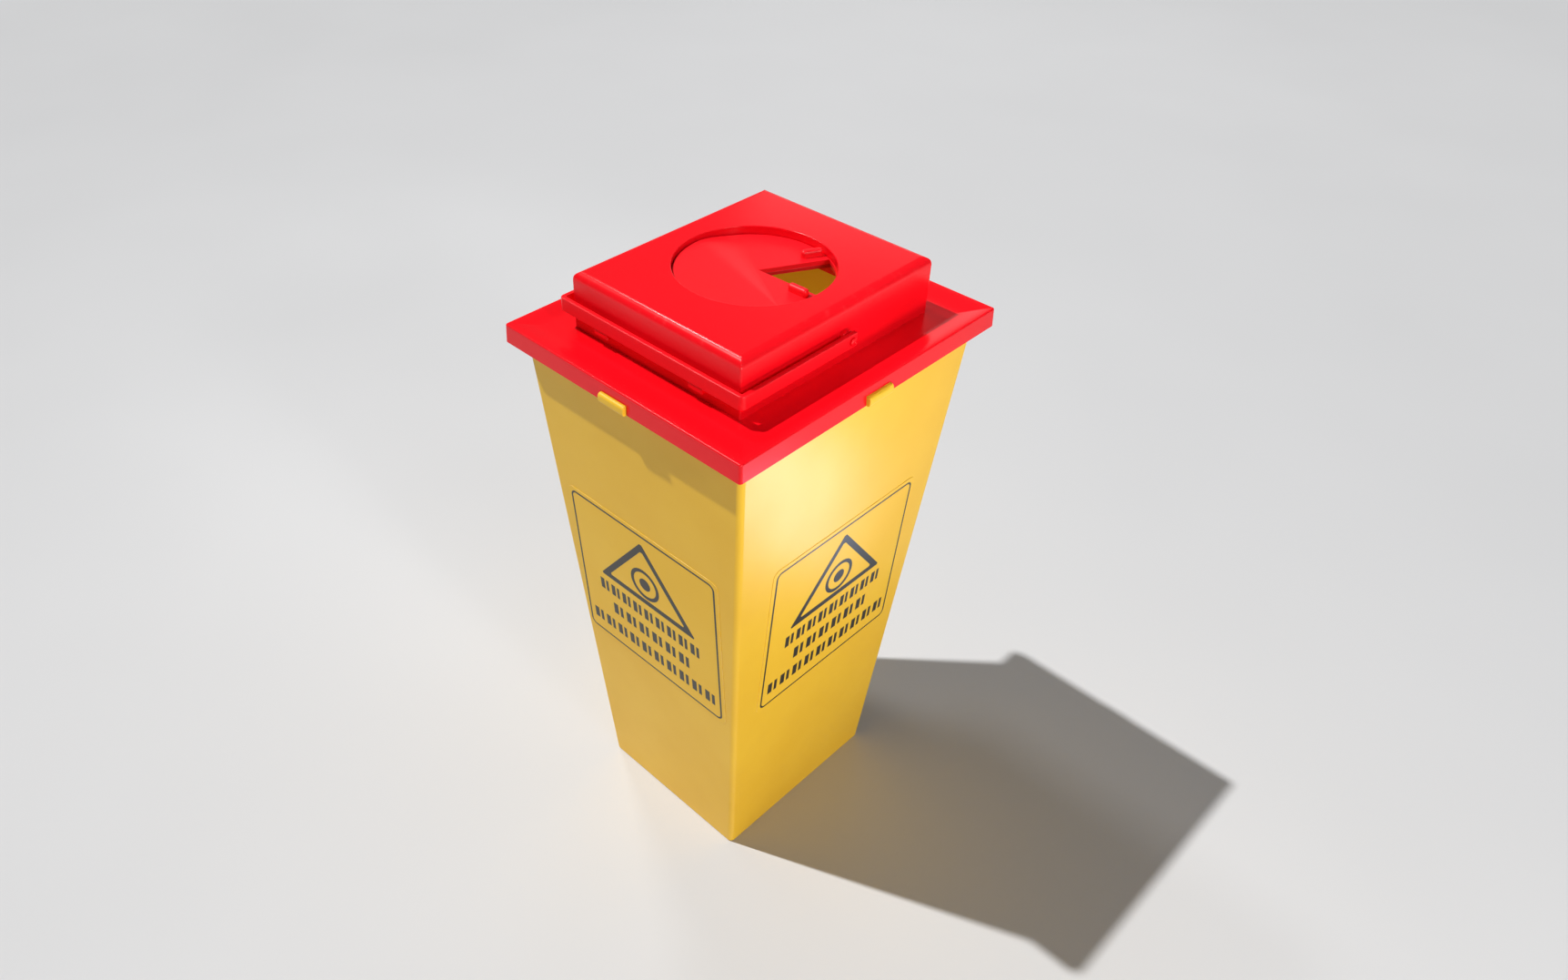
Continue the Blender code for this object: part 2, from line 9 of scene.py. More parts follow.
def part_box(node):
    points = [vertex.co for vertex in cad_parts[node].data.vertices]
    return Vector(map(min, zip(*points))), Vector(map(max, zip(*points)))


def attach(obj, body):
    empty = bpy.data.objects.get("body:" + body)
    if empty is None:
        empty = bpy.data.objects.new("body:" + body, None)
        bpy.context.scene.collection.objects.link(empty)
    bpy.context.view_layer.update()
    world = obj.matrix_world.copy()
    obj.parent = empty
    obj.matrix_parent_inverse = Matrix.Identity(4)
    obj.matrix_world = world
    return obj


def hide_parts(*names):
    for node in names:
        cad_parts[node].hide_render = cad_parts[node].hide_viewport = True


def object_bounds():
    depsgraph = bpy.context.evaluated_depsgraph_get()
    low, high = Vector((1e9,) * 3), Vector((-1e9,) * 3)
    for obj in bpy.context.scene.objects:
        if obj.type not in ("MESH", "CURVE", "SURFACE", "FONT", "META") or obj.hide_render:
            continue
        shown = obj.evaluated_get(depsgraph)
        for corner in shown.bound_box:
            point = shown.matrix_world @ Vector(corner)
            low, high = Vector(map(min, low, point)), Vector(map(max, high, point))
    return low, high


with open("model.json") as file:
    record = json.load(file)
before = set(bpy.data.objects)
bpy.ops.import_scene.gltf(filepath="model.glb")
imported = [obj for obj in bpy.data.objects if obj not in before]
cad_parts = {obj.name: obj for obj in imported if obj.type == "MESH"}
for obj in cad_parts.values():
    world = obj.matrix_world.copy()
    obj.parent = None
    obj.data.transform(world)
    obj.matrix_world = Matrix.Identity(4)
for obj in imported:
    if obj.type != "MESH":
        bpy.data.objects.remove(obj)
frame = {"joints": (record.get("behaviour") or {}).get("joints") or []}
cad_low, cad_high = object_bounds()


# ---------------------------------------------------------------------------------------------------------
# Bin. The tapered yellow tub, one injection moulding in polypropylene: 2 mm walls, a flat lip round the
# mouth, four catch lugs that the lid's skirt goes down over, a foot ring under the floor, and the pip that
# the moulding's gate leaves in the middle of it.

MM = 0.001
SHARP_BEND = 1.2


def box_mm(node):
    """A CAD node's lowest and highest corners in millimetres."""
    return [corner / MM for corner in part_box(node)]


def block(low, high):
    """A plain box between two corners."""
    bm = bmesh.new()
    bmesh.ops.create_cube(bm, size=1.0)
    for vert in bm.verts:
        vert.co = Vector(high[i] if vert.co[i] > 0 else low[i] for i in range(3))
    bm.normal_update()
    return bm


def bevel(bm, edges, width, segments):
    """Round the given edges."""
    bmesh.ops.bevel(
        bm, geom=edges, offset=width, segments=segments, profile=0.5, affect="EDGES", material=-1
    )


def upright_edges(bm):
    """The edges that run much more up than across."""
    def upright(edge):
        step = edge.verts[0].co - edge.verts[1].co
        return abs(step.z) > 5 * math.hypot(step.x, step.y)

    return [edge for edge in bm.edges if upright(edge)]


def sharp_edges(bm):
    """The edges whose faces meet at much more than a rounding's small steps do."""
    return [edge for edge in bm.edges if edge.calc_face_angle(0) > SHARP_BEND]


def level_edges(bm, height):
    """The edges that lie at a height."""
    return [e for e in bm.edges if all(abs(v.co.z - height) < 1e-3 for v in e.verts)]


def loft(sections, corner_steps=6):
    """A solid through rounded rectangles, each (half x, half y, corner radius, height), bottom first."""
    x, y, radius, low = sections[0]
    bm = block((-x, -y, low), (x, y, low + 1))
    bevel(bm, upright_edges(bm), radius, corner_steps)
    top = max((f for f in bm.faces if f.normal.z > 0.9), key=lambda f: f.calc_area())
    for number, (next_x, next_y, next_radius, height) in enumerate(sections[1:]):
        if number:
            bmesh.ops.inset_individual(bm, faces=[top], thickness=0.0)
        for vert in top.verts:
            side = Vector((math.copysign(1, vert.co.x), math.copysign(1, vert.co.y)))
            way = vert.co.xy - side * Vector((x - radius, y - radius))
            centre = side * Vector((next_x - next_radius, next_y - next_radius))
            vert.co = (centre + way * next_radius / radius).to_3d() + Vector((0, 0, height))
        x, y, radius = next_x, next_y, next_radius
    return bm


def quarter_round(half, radius, height, edge, steps):
    """Loft sections that carry a block's side over its top edge, for a rounding of the given size."""
    sections = []
    for step in range(steps + 1):
        turn = math.pi / 2 * step / steps
        inset = edge * (1 - math.cos(turn))
        drop = edge * (1 - math.sin(turn))
        sections.append((half[0] - inset, half[1] - inset, max(radius - inset, 0.1), height - drop))
    return sections


def piece_from(bm, name):
    """An object from a mesh drawn in millimetres, with its place in its mesh."""
    bmesh.ops.transform(bm, matrix=Matrix.Scale(MM, 4), verts=bm.verts)
    bmesh.ops.recalc_face_normals(bm, faces=bm.faces)
    mesh = bpy.data.meshes.new(name)
    bm.to_mesh(mesh)
    bm.free()
    piece = bpy.data.objects.new(name, mesh)
    bpy.context.scene.collection.objects.link(piece)
    return piece


def combine(piece, operation, bm):
    """Cut a shape from a piece, or join it on, and leave plain mesh behind with doubled points merged."""
    other = piece_from(bm, "tool")
    modifier = piece.modifiers.new("combine", "BOOLEAN")
    modifier.operation = operation
    modifier.object = other
    modifier.solver = "EXACT"
    graph = bpy.context.evaluated_depsgraph_get()
    mesh = bpy.data.meshes.new_from_object(piece.evaluated_get(graph))
    clean = bmesh.new()
    clean.from_mesh(mesh)
    bmesh.ops.remove_doubles(clean, verts=clean.verts, dist=0.001 * MM)
    clean.to_mesh(mesh)
    clean.free()
    piece.modifiers.clear()
    piece.data = mesh
    bpy.data.objects.remove(other)


def four_blocks(width, inner, outer, low, high):
    """A block at the middle of each side, from the inner to the outer half sizes."""
    half = width / 2
    return [
        block((-half, -outer[1], low), (half, -inner[1], high)),
        block((-half, inner[1], low), (half, outer[1], high)),
        block((-outer[0], -half, low), (-inner[0], half, high)),
        block((inner[0], -half, low), (outer[0], half, high)),
    ]


def mark_worn_edges(bm):
    """Store 1 on the vertices inside a convex rounding, and 0 elsewhere, for the wear in the materials."""
    strip = 1.2 * MM
    layer = bm.verts.layers.float.new("edge_wear")
    for vert in bm.verts:
        widths = [f.calc_area() / max(e.calc_length() for e in f.edges) for f in vert.link_faces]
        bends = [e.calc_face_angle_signed(0.0) for e in vert.link_edges if len(e.link_faces) == 2]
        if widths and bends and max(widths) < strip and max(bends) > math.radians(8):
            vert[layer] = 1.0


def settle(piece, body, slot, material, *nodes):
    """Clean a finished piece, shade it, and let it ride on its body in place of its CAD node."""
    bm = bmesh.new()
    bm.from_mesh(piece.data)
    bmesh.ops.remove_doubles(bm, verts=bm.verts, dist=0.002 * MM)
    mark_worn_edges(bm)
    bm.to_mesh(piece.data)
    bm.free()
    piece.data.materials.clear()
    piece.data.materials.append(material)
    piece.data.shade_smooth()
    piece.data.set_sharp_from_angle(angle=math.radians(34))
    flat = piece.modifiers.new("flat faces stay flat", "WEIGHTED_NORMAL")
    flat.keep_sharp = True
    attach(piece, body)
    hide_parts(*nodes)


def new_group(name, inputs, outputs):
    """A shader node group with value inputs and outputs, and its two end nodes."""
    group = bpy.data.node_groups.new(name, "ShaderNodeTree")
    for socket, value in inputs.items():
        made = group.interface.new_socket(name=socket, in_out="INPUT", socket_type="NodeSocketFloat")
        made.default_value = value
    for socket in outputs:
        group.interface.new_socket(name=socket, in_out="OUTPUT", socket_type="NodeSocketFloat")
    return group, group.nodes.new("NodeGroupInput"), group.nodes.new("NodeGroupOutput")


def arithmetic(tree, operation, first, second):
    """A Math node between two sockets or numbers."""
    node = tree.nodes.new("ShaderNodeMath")
    node.operation = operation
    for slot, value in zip(node.inputs, (first, second)):
        if isinstance(value, (int, float)):
            slot.default_value = value
        else:
            tree.links.new(value, slot)
    return node.outputs[0]


def noise(tree, vector, scale, detail, roughness=0.5):
    """Noise at a scale that may be a number or a socket."""
    node = tree.nodes.new("ShaderNodeTexNoise")
    node.inputs["Detail"].default_value = detail
    node.inputs["Roughness"].default_value = roughness
    tree.links.new(vector, node.inputs["Vector"])
    if isinstance(scale, (int, float)):
        node.inputs["Scale"].default_value = scale
    else:
        tree.links.new(scale, node.inputs["Scale"])
    return node.outputs["Fac"]


def remap(tree, value, low, high, to_low=0.0, to_high=1.0):
    """Stretch a value's range onto another, and clamp it there."""
    node = tree.nodes.new("ShaderNodeMapRange")
    for name, number in zip(("From Min", "From Max", "To Min", "To Max"), (low, high, to_low, to_high)):
        node.inputs[name].default_value = number
    tree.links.new(value, node.inputs["Value"])
    return node.outputs["Result"]


def object_coordinates(tree):
    return tree.nodes.new("ShaderNodeTexCoord").outputs["Object"]


def make_moulded_skin():
    """Moulded plastic: Height is its orange peel and fine spark grain, Tone its slow change of colour."""
    group, given, out = new_group("moulded_skin", {"Grain": 2600.0, "Peel": 120.0}, ["Height", "Tone"])
    place = object_coordinates(group)
    grain = noise(group, place, given.outputs["Grain"], 2.0)
    peel = noise(group, place, given.outputs["Peel"], 1.0)
    height = arithmetic(group, "ADD", arithmetic(group, "MULTIPLY", grain, 0.25), peel)
    tone = noise(group, place, 14.0, 3.0, 0.55)
    group.links.new(height, out.inputs["Height"])
    group.links.new(tone, out.inputs["Tone"])
    return group


def make_edge_rub():
    """Where corners have been rubbed: the stored edge mark, broken up by noise."""
    group, given, out = new_group("edge_rub", {"Scale": 180.0, "Cover": 0.5}, ["Mask"])
    mark = group.nodes.new("ShaderNodeAttribute")
    mark.attribute_name = "edge_wear"
    patches = noise(group, object_coordinates(group), given.outputs["Scale"], 5.0, 0.65)
    start = arithmetic(group, "SUBTRACT", 1.0, given.outputs["Cover"])
    above = arithmetic(group, "MULTIPLY", arithmetic(group, "SUBTRACT", patches, start), 6.0)
    clamp = group.nodes.new("ShaderNodeClamp")
    group.links.new(above, clamp.inputs["Value"])
    group.links.new(arithmetic(group, "MULTIPLY", clamp.outputs[0], mark.outputs["Fac"]), out.inputs["Mask"])
    return group


def make_handling():
    """Faint hairline scuffs in two directions, and specks of dust."""
    group, given, out = new_group("handling", {"Density": 0.5}, ["Scuffs", "Specks"])
    place = object_coordinates(group)
    found = []
    for turn, stretch in ((0.5, (900.0, 14.0, 30.0)), (-0.9, (26.0, 800.0, 12.0))):
        mapping = group.nodes.new("ShaderNodeMapping")
        mapping.inputs["Rotation"].default_value = (turn, turn * 0.6, turn)
        mapping.inputs["Scale"].default_value = stretch
        group.links.new(place, mapping.inputs["Vector"])
        found.append(remap(group, noise(group, mapping.outputs[0], 1.0, 1.0), 0.70, 0.76))
    lines = arithmetic(group, "MAXIMUM", found[0], found[1])
    worn_areas = remap(group, noise(group, place, 24.0, 2.0), 0.45, 0.65)
    amount = arithmetic(group, "MULTIPLY", worn_areas, given.outputs["Density"])
    group.links.new(arithmetic(group, "MULTIPLY", lines, amount), out.inputs["Scuffs"])
    specks = remap(group, noise(group, place, 2100.0, 0.0), 0.80, 0.86)
    group.links.new(specks, out.inputs["Specks"])
    return group


moulded_skin = make_moulded_skin()
edge_rub = make_edge_rub()
handling = make_handling()


def placed_group(tree, group, **values):
    """A node group placed in a material, with its own values."""
    node = tree.nodes.new("ShaderNodeGroup")
    node.node_tree = group
    for name, value in values.items():
        node.inputs[name].default_value = value
    return node


def mixed(tree, factor, first, second):
    """A colour mix; first may be a colour or a socket."""
    node = tree.nodes.new("ShaderNodeMix")
    node.data_type = "RGBA"
    tree.links.new(factor, node.inputs["Factor"])
    if isinstance(first, tuple):
        node.inputs["A"].default_value = first
    else:
        tree.links.new(first, node.inputs["A"])
    node.inputs["B"].default_value = second
    return node.outputs["Result"]


def moulded_plastic(name, colour, deep, rubbed, roughness, peel=0.035, rub=0.45, scuffs=0.25):
    """Injection-moulded polypropylene: body colour with a slow drift, pale rubbed edges and soft gloss."""
    material = bpy.data.materials.new(name)
    material.use_nodes = True
    tree = material.node_tree
    shader = tree.nodes["Principled BSDF"]
    shader.inputs["IOR"].default_value = 1.49
    shader.inputs["Specular IOR Level"].default_value = 0.3
    skin = placed_group(tree, moulded_skin)
    rub_mask = placed_group(tree, edge_rub, Cover=rub).outputs["Mask"]
    hand = placed_group(tree, handling, Density=scuffs)
    drift = remap(tree, skin.outputs["Tone"], 0.35, 0.70)
    body = mixed(tree, drift, colour, deep)
    dusty = mixed(tree, arithmetic(tree, "MULTIPLY", hand.outputs["Specks"], 0.25), body, rubbed)
    worn = mixed(tree, arithmetic(tree, "MULTIPLY", rub_mask, 0.1), dusty, rubbed)
    tree.links.new(worn, shader.inputs["Base Color"])
    gloss = remap(tree, skin.outputs["Tone"], 0.3, 0.75, roughness - 0.03, roughness + 0.04)
    marks = arithmetic(tree, "ADD", hand.outputs["Scuffs"], arithmetic(tree, "MULTIPLY", rub_mask, 0.35))
    rough = arithmetic(tree, "ADD", gloss, arithmetic(tree, "MULTIPLY", marks, 0.16))
    tree.links.new(rough, shader.inputs["Roughness"])
    bump = tree.nodes.new("ShaderNodeBump")
    bump.inputs["Strength"].default_value = peel
    bump.inputs["Distance"].default_value = 0.4 * MM
    tree.links.new(skin.outputs["Height"], bump.inputs["Height"])
    tree.links.new(bump.outputs["Normal"], shader.inputs["Normal"])
    return material


BASE_HALF = (57.8, 66.8)
SKIRT_LEVEL = 346.0
SKIRT_LEVEL_HALF = (81.2, 93.2)
RIM_HALF = (85.2, 98.4)
RIM_LIP = 3.0
LIP_EDGE = 0.7
BIN_WALL = 2.0
BIN_FLOOR = 3.8
CORNER = 3.5
HEEL = 1.2
HEEL_STEPS = 5
FOOT_WIDTH = 9.0
FOOT_HEIGHT = 1.5
LUG_WIDTH = 19.0
LUG_BOTTOM = 345.4
LUG_TOP = 351.3
LUG_ROUND = 1.9
LUG_EASE = 0.35

bin_box = box_mm("bin")
rim_top = bin_box[1].z
yellow_plastic = moulded_plastic(
    "yellow_polypropylene",
    colour=(0.89, 0.535, 0.032, 1.0),
    deep=(0.85, 0.49, 0.026, 1.0),
    rubbed=(0.93, 0.68, 0.20, 1.0),
    roughness=0.36,
)


def wall_half(height, inset=0.0):
    """The bin's half sizes on the outside of its wall at a height, or that far inside."""
    share = height / SKIRT_LEVEL
    return [b + (t - b) * share - inset for b, t in zip(BASE_HALF, SKIRT_LEVEL_HALF)]


sections = [(*[side - HEEL * 0.999 for side in wall_half(0)], CORNER - HEEL, 0.0)]
for step in range(1, HEEL_STEPS + 1):
    turn = math.pi / 2 * step / HEEL_STEPS
    level = HEEL * (1 - math.cos(turn))
    inset = HEEL * (1 - math.sin(turn))
    sections.append((*wall_half(level, inset), CORNER - inset, level))
sections.append((*wall_half(rim_top), CORNER, rim_top))
tub = piece_from(loft(sections, 8), "bin_tub")

combine(tub, "UNION", loft(
    [(*RIM_HALF, CORNER, rim_top - RIM_LIP), *quarter_round(RIM_HALF, CORNER, rim_top, LIP_EDGE, 4)], 8))
above = rim_top + 5
hollow = loft(
    [
        (*wall_half(BIN_FLOOR, BIN_WALL + 1.5), 1.2, BIN_FLOOR),
        (*wall_half(BIN_FLOOR + 0.45, BIN_WALL + 0.45), 1.4, BIN_FLOOR + 0.45),
        (*wall_half(BIN_FLOOR + 1.5, BIN_WALL), 1.5, BIN_FLOOR + 1.5),
        (*wall_half(above, BIN_WALL), 1.5, above),
    ],
    5,
)
combine(tub, "DIFFERENCE", hollow)
foot = loft(
    [
        (*[side - FOOT_WIDTH + FOOT_HEIGHT for side in BASE_HALF], 2.0, -FOOT_HEIGHT),
        (*[side - FOOT_WIDTH - FOOT_HEIGHT for side in BASE_HALF], 2.0, FOOT_HEIGHT),
    ],
    4,
)
combine(tub, "DIFFERENCE", foot)


def outwardness(vert):
    """How far out a point is, as a share of the bin's whole half size."""
    return max(abs(vert.co.x) / bin_box[1].x, abs(vert.co.y) / bin_box[1].y)


lug_roots = wall_half(LUG_BOTTOM, BIN_WALL / 2)
for lug in four_blocks(LUG_WIDTH, lug_roots, bin_box[1].xy, LUG_BOTTOM, LUG_TOP):
    reach = max(outwardness(vert) for vert in lug.verts)
    tips = [edge for edge in lug.edges if all(outwardness(vert) > reach - 1e-4 for vert in edge.verts)]
    level_tips = [edge for edge in tips if abs(edge.verts[0].co.z - edge.verts[1].co.z) < 0.1]
    bevel(lug, level_tips, LUG_ROUND, 6)
    bevel(lug, sharp_edges(lug), LUG_EASE, 3)
    combine(tub, "UNION", lug)

gate_pip = bmesh.new()
bmesh.ops.create_cone(gate_pip, cap_ends=True, segments=32, radius1=2.2, radius2=3.2, depth=1.4)
bmesh.ops.translate(gate_pip, vec=(0, 0, FOOT_HEIGHT + 0.3), verts=gate_pip.verts)
bevel(gate_pip, level_edges(gate_pip, FOOT_HEIGHT - 0.4), 0.4, 3)
combine(tub, "UNION", gate_pip)
settle(tub, "bin", "yellow_plastic", yellow_plastic, "bin")


# ---------------------------------------------------------------------------------------------------------
# Lid. One moulding in glossy red polypropylene: a flange with a deep skirt that presses on over the bin's
# lip, a shallow dish, and the turret with its round recess. Inside are the rib that enters the bin's mouth
# and the four posts whose ends are formed over the aperture plate. Nubs on the turret hold the bail level.

WALL = 2.2
SKIRT_FLARE = 0.4
FLANGE_HALF = (88.0, 101.2)
FLANGE_CORNER = 1.6
FLANGE_EDGE = 0.9
DISH_HALF = (74.0, 84.2)
DISH_DROP = 2.0
DISH_STEPS = 9
TURRET_HALF = (61.3, 74.0)
TURRET_CORNER = 1.0
TURRET_EDGE = 5.0
RECESS_RADIUS = 44.0
RECESS_LIP = 0.5
RECESS_WALL = 2.2
RECESS_WALL_BOTTOM = 383.4
ROUND_STEPS = 160
RIB_HALF = (78.8, 90.8)
RIB_WALL = 1.8
RIB_BOTTOM = 346.8
NOTCH_WIDTH = LUG_WIDTH + 0.8
NOTCH_ROOM = 0.3
POSTS = [(x, y) for x in (-50.0, 50.0) for y in (-50.0, 50.0)]
POST_RADIUS = 2.4
POST_HEAD_RADIUS = 4.0
POST_HEAD_TOP = 378.5
POST_HEAD_BOTTOM = 377.3
PIVOT = Vector((0.0, 2.0, 369.3))
PIN_HOLE_RADIUS = 1.8
BORE_STEPS = 40
BOSS_RADIUS = 4.6
BOSS_FACE = 63.9
FLANGE_TOP = 357.0
NUB_WIDTH = 10.0
NUB_AT = 35.0
NUB_HEIGHT = 3.2
NUB_ROOM = 0.3
NUB_SHY = 0.6

lid_box = box_mm("lid")
turret_top = lid_box[1].z
red_plastic = moulded_plastic(
    "red_polypropylene",
    colour=(0.90, 0.004, 0.012, 1.0),
    deep=(0.84, 0.003, 0.009, 1.0),
    rubbed=(0.93, 0.10, 0.11, 1.0),
    roughness=0.21,
)


def eased(share):
    """A share of a slope, levelled out at both ends."""
    return share * share * (3 - 2 * share)


def lid_form(inset, low):
    """The lid's outside as a solid, or its inside when inset by the wall."""
    flange = [side - inset for side in FLANGE_HALF]
    skirt = [side + SKIRT_FLARE for side in flange]
    corner = max(FLANGE_CORNER - inset, 0.3)
    top = FLANGE_TOP - inset
    edge = max(FLANGE_EDGE - inset, 0.05)
    made = [(*skirt, corner, low)]
    made += quarter_round(flange, corner, top, edge, 5)
    brink = [side - edge for side in flange]
    for step in range(1, DISH_STEPS + 1):
        share = step / DISH_STEPS
        half = [b + (d - b) * share for b, d in zip(brink, DISH_HALF)]
        made.append((*half, 0.3, top - DISH_DROP * eased(share)))
    turret = [side - inset for side in TURRET_HALF]
    turret_corner = max(TURRET_CORNER - inset, 0.3)
    made.append((*turret, turret_corner, top - DISH_DROP))
    made += quarter_round(turret, turret_corner, turret_top - inset, TURRET_EDGE - inset, 9)
    return loft(made, 5)


def turned(profile, segments):
    """A solid of revolution about Z through (radius, height) points, from the axis back to the axis."""
    bm = bmesh.new()
    verts = [bm.verts.new((radius, 0.0, height)) for radius, height in profile]
    edges = [bm.edges.new(pair) for pair in zip(verts, verts[1:])]
    bmesh.ops.spin(
        bm, geom=verts + edges, cent=(0, 0, 0), axis=(0, 0, 1), angle=2 * math.pi,
        steps=segments, use_merge=True,
    )
    bmesh.ops.remove_doubles(bm, verts=bm.verts, dist=1e-4)
    bmesh.ops.recalc_face_normals(bm, faces=bm.faces)
    return bm


def rod(radius, low, high, segments):
    """A round bar about Z."""
    return turned([(0, low), (radius, low), (radius, high), (0, high)], segments)


def arc(centre, radius, start, end, steps):
    """Points on an arc, with angles in degrees."""
    angles = [math.radians(start + (end - start) * step / steps) for step in range(steps + 1)]
    return [(centre[0] + radius * math.cos(a), centre[1] + radius * math.sin(a)) for a in angles]


def stood_across(bm, side, centre):
    """Turn a shape made along +Z to lie along X, outwards on the given side."""
    bmesh.ops.rotate(bm, matrix=Matrix.Rotation(side * math.pi / 2, 3, "Y"), verts=bm.verts)
    bmesh.ops.translate(bm, vec=centre, verts=bm.verts)
    return bm


cover = piece_from(lid_form(0.0, lid_box[0].z), "lid_cover")
combine(cover, "DIFFERENCE", lid_form(WALL, lid_box[0].z - 2))
outer_wall = RECESS_RADIUS + RECESS_WALL
foot_round = arc((outer_wall - 0.5, RECESS_WALL_BOTTOM + 0.5), 0.5, -90, 0, 4)
combine(cover, "UNION", turned(
    [(0, RECESS_WALL_BOTTOM), *foot_round, (outer_wall, turret_top - 1), (0, turret_top - 1)],
    ROUND_STEPS))
lip_round = arc((RECESS_RADIUS + RECESS_LIP, turret_top - RECESS_LIP), RECESS_LIP, 180, 90, 5)
combine(cover, "DIFFERENCE", turned(
    [(0, RECESS_WALL_BOTTOM - 3), (RECESS_RADIUS, RECESS_WALL_BOTTOM - 3), *lip_round,
     (RECESS_RADIUS + RECESS_LIP, turret_top + 2), (0, turret_top + 2)],
    ROUND_STEPS))

# The rib is a frame with nothing inside, so it is hollowed on its own, and joined on as one shape.
rib_top = FLANGE_TOP - DISH_DROP - WALL + 1.0
rib_inner = [side - RIB_WALL for side in RIB_HALF]
rib = piece_from(loft([(*RIB_HALF, 2.0, RIB_BOTTOM), (*RIB_HALF, 2.0, rib_top)]), "rib")
combine(rib, "DIFFERENCE", loft([(*rib_inner, 0.6, RIB_BOTTOM - 2), (*rib_inner, 0.6, rib_top + 2)]))
rib_mesh = bmesh.new()
rib_mesh.from_mesh(rib.data)
bmesh.ops.transform(rib_mesh, matrix=Matrix.Scale(1 / MM, 4), verts=rib_mesh.verts)
bpy.data.objects.remove(rib)
combine(cover, "UNION", rib_mesh)

notch_inner = [side - WALL - 1 for side in FLANGE_HALF]
notch_outer = [side + 5 for side in FLANGE_HALF]
for notch in four_blocks(NOTCH_WIDTH, notch_inner, notch_outer, SKIRT_LEVEL - 3, LUG_TOP + NOTCH_ROOM):
    combine(cover, "DIFFERENCE", notch)

post_top = turret_top - WALL + 0.8
head_round = arc((POST_HEAD_RADIUS - 0.5, POST_HEAD_BOTTOM + 0.6), 0.55, 0, -75, 4)
for at in POSTS:
    post = turned(
        [(0, post_top), (POST_RADIUS, post_top), (POST_RADIUS, POST_HEAD_TOP),
         (POST_HEAD_RADIUS, POST_HEAD_TOP), *head_round, (1.2, POST_HEAD_BOTTOM),
         (0, POST_HEAD_BOTTOM + 0.3)], 40)
    bmesh.ops.translate(post, vec=(*at, 0), verts=post.verts)
    combine(cover, "UNION", post)

boss_root = TURRET_HALF[0] - WALL + 1.0
for side in (1, -1):
    rim_round = arc((BOSS_RADIUS - 0.5, BOSS_FACE - 0.5), 0.5, 0, 90, 4)
    boss = turned([(0, boss_root), (BOSS_RADIUS, boss_root), *rim_round, (0, BOSS_FACE)], 48)
    combine(cover, "UNION", stood_across(boss, side, (0, PIVOT.y, PIVOT.z)))
    bore = rod(PIN_HOLE_RADIUS, boss_root - 6, BOSS_FACE + 3, BORE_STEPS)
    combine(cover, "DIFFERENCE", stood_across(bore, side, (0, PIVOT.y, PIVOT.z)))

bail_box = box_mm("bail")
front_top = bail_box[0].z - NUB_ROOM
back_top = 2 * PIVOT.z - bail_box[1].z - NUB_ROOM
front_reach = -bail_box[0].y - NUB_SHY
back_reach = 2 * PIVOT.y - bail_box[0].y - NUB_SHY
nub_root = TURRET_HALF[1] - 1.0
for x in (-NUB_AT, NUB_AT):
    low_x, high_x = x - NUB_WIDTH / 2, x + NUB_WIDTH / 2
    for nub in (
        block((low_x, -front_reach, front_top - NUB_HEIGHT), (high_x, -nub_root, front_top)),
        block((low_x, nub_root, back_top - NUB_HEIGHT), (high_x, back_reach, back_top)),
    ):
        outer_y = max(abs(v.co.y) for v in nub.verts)
        bevel(nub, [e for e in nub.edges if all(abs(v.co.y) > outer_y - 0.01 for v in e.verts)], 0.6, 4)
        combine(cover, "UNION", nub)
settle(cover, "lid", "red_plastic", red_plastic, "lid")


# ---------------------------------------------------------------------------------------------------------
# Aperture plate. A square plate in the same polypropylene, unpolished, that holds the shutter up against the
# recess's wall. Its red is painted darker than the lid's, as painted shade for a part that sits inside the
# lid.
# It has a guide ring round the disc, the fixed drop opening, an arc slot for the shutter's stop peg, and
# holes for the lid's posts.

PLATE_HALF = 57.0
PLATE_CORNER = 6.0
PLATE_TOP = 380.8
GUIDE_OUTER = 49.6
GUIDE_INNER = 47.6
OPENING_APEX = Vector((0.0, 3.3))
OPENING_ANGLES = (2.0, 61.5)
OPENING_RADIUS = 43.6
OPENING_ROOM = 0.6
PEG_ORBIT = 36.0
PEG_ANGLE = 200.0
PEG_RADIUS = 2.0
SLOT_HALF = 2.4
TURN = next(-joint["range_deg"][0] for joint in frame["joints"] if joint["name"] == "shutter_turn")

plate_box = box_mm("aperture_plate")
# The darker reds here are painted shade for the inside of the lid; only the higher roughness is the
# unpolished finish.
inner_plastic_painted_shade = moulded_plastic(
    "red_polypropylene_unpolished_painted_shade",
    colour=(0.56, 0.006, 0.010, 1.0),
    deep=(0.50, 0.004, 0.008, 1.0),
    rubbed=(0.75, 0.12, 0.12, 1.0),
    roughness=0.45,
    peel=0.09,
)


def prism(outline, low, high):
    """An outline in plan, raised from the low to the high level."""
    bm = bmesh.new()
    face = bm.faces.new([bm.verts.new((point[0], point[1], low)) for point in outline])
    grown = bmesh.ops.extrude_face_region(bm, geom=[face])["geom"]
    raised = [item for item in grown if isinstance(item, bmesh.types.BMVert)]
    bmesh.ops.translate(bm, vec=(0, 0, high - low), verts=raised)
    bmesh.ops.recalc_face_normals(bm, faces=bm.faces)
    return bm


def wedge(margin, low, high):
    """The drop opening as a solid: two straight edges from an apex, and an arc about the shutter's axis."""
    start, end = (math.radians(angle) for angle in OPENING_ANGLES)
    middle = (start + end) / 2
    spread = margin / math.sin((end - start) / 2)
    apex = OPENING_APEX - spread * Vector((math.cos(middle), math.sin(middle)))
    radius = OPENING_RADIUS + margin
    outline = [apex]
    steps = 32
    for step in range(steps + 1):
        angle = start + (end - start) * step / steps
        way = Vector((math.cos(angle), math.sin(angle)))
        along = apex.dot(way)
        far = math.sqrt(along * along + radius * radius - apex.length_squared) - along
        outline.append(apex + way * far)
    return prism(outline, low, high)


